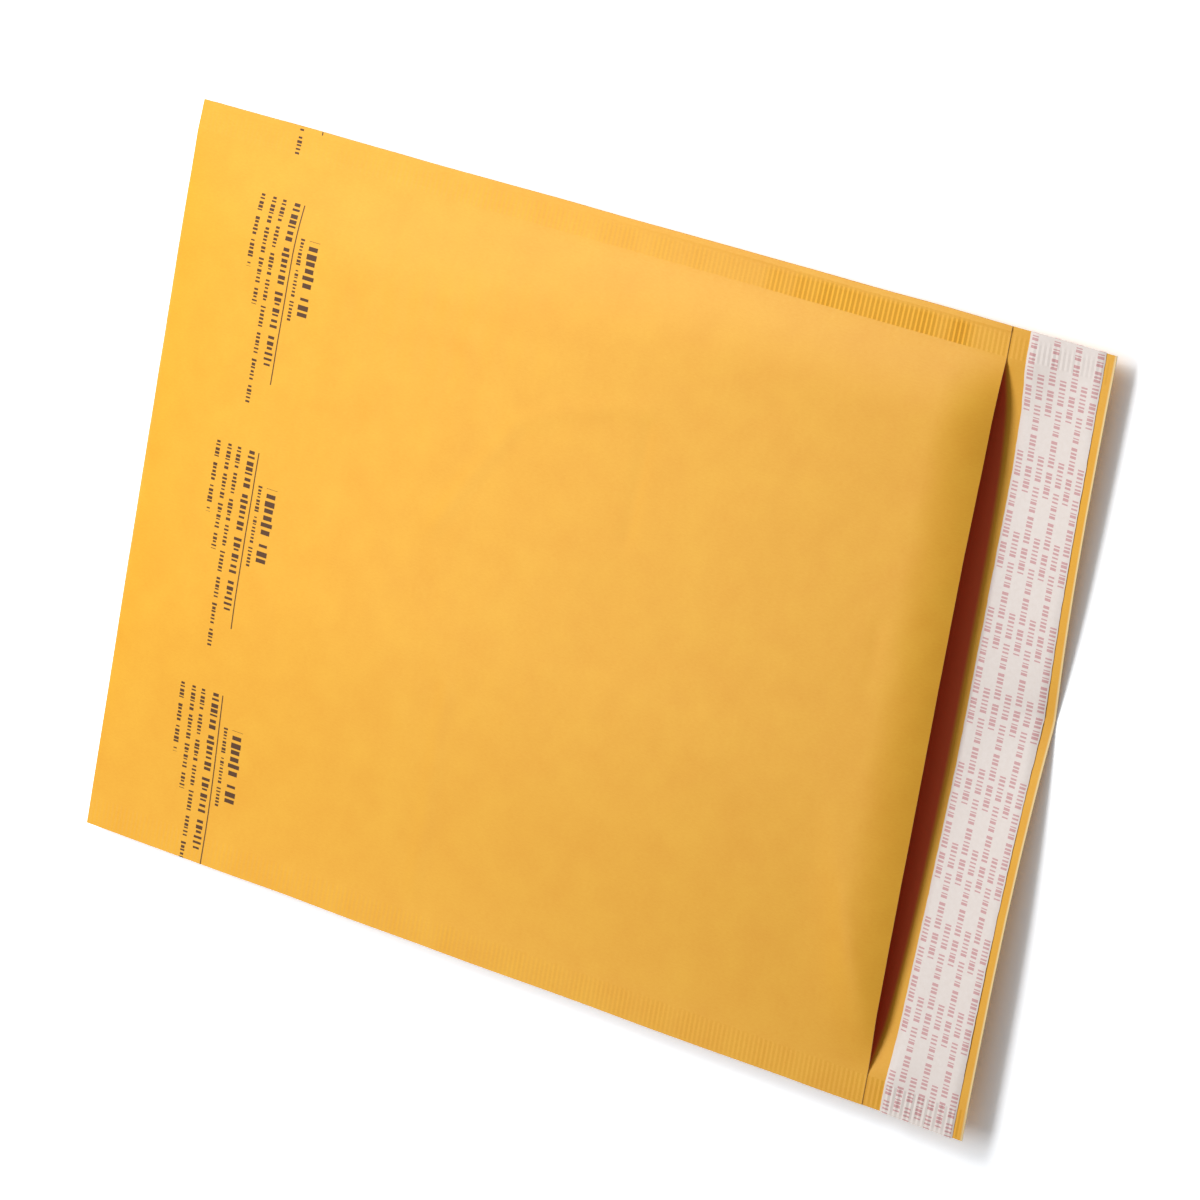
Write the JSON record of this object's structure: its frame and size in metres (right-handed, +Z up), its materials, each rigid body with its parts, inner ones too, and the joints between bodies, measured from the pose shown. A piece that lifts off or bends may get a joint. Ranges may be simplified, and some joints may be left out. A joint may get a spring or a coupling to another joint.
{
  "type": "padded envelope",
  "caption": "Golden kraft padded mailing envelope lying open on its back, with crimped side seams, air-cell lining and a self-seal flap under a release liner.",
  "frame": {"origin": "on the resting plane, at the centre of the overall length and width", "axes": "+X along the length from the bottom fold to the flap, +Y across the width, +Z up from the back panel to the front panel"},
  "size_m": [0.3048, 0.216, 0.011],
  "materials": {
    "kraft_paper": "golden kraft paper, matt with a faint sheen",
    "air_cell_film": "thin translucent polyethylene film, tinted by the paper behind it",
    "flap_adhesive": "pale hot-melt adhesive",
    "silicone_paper": "white silicone-coated release paper with pale red print"
  },
  "bodies": {
    "root": {"kraft_sheet": "kraft_paper", "bubble_lining": "air_cell_film", "adhesive_strip": "flap_adhesive", "release_liner": "silicone_paper"}
  },
  "joints": []
}
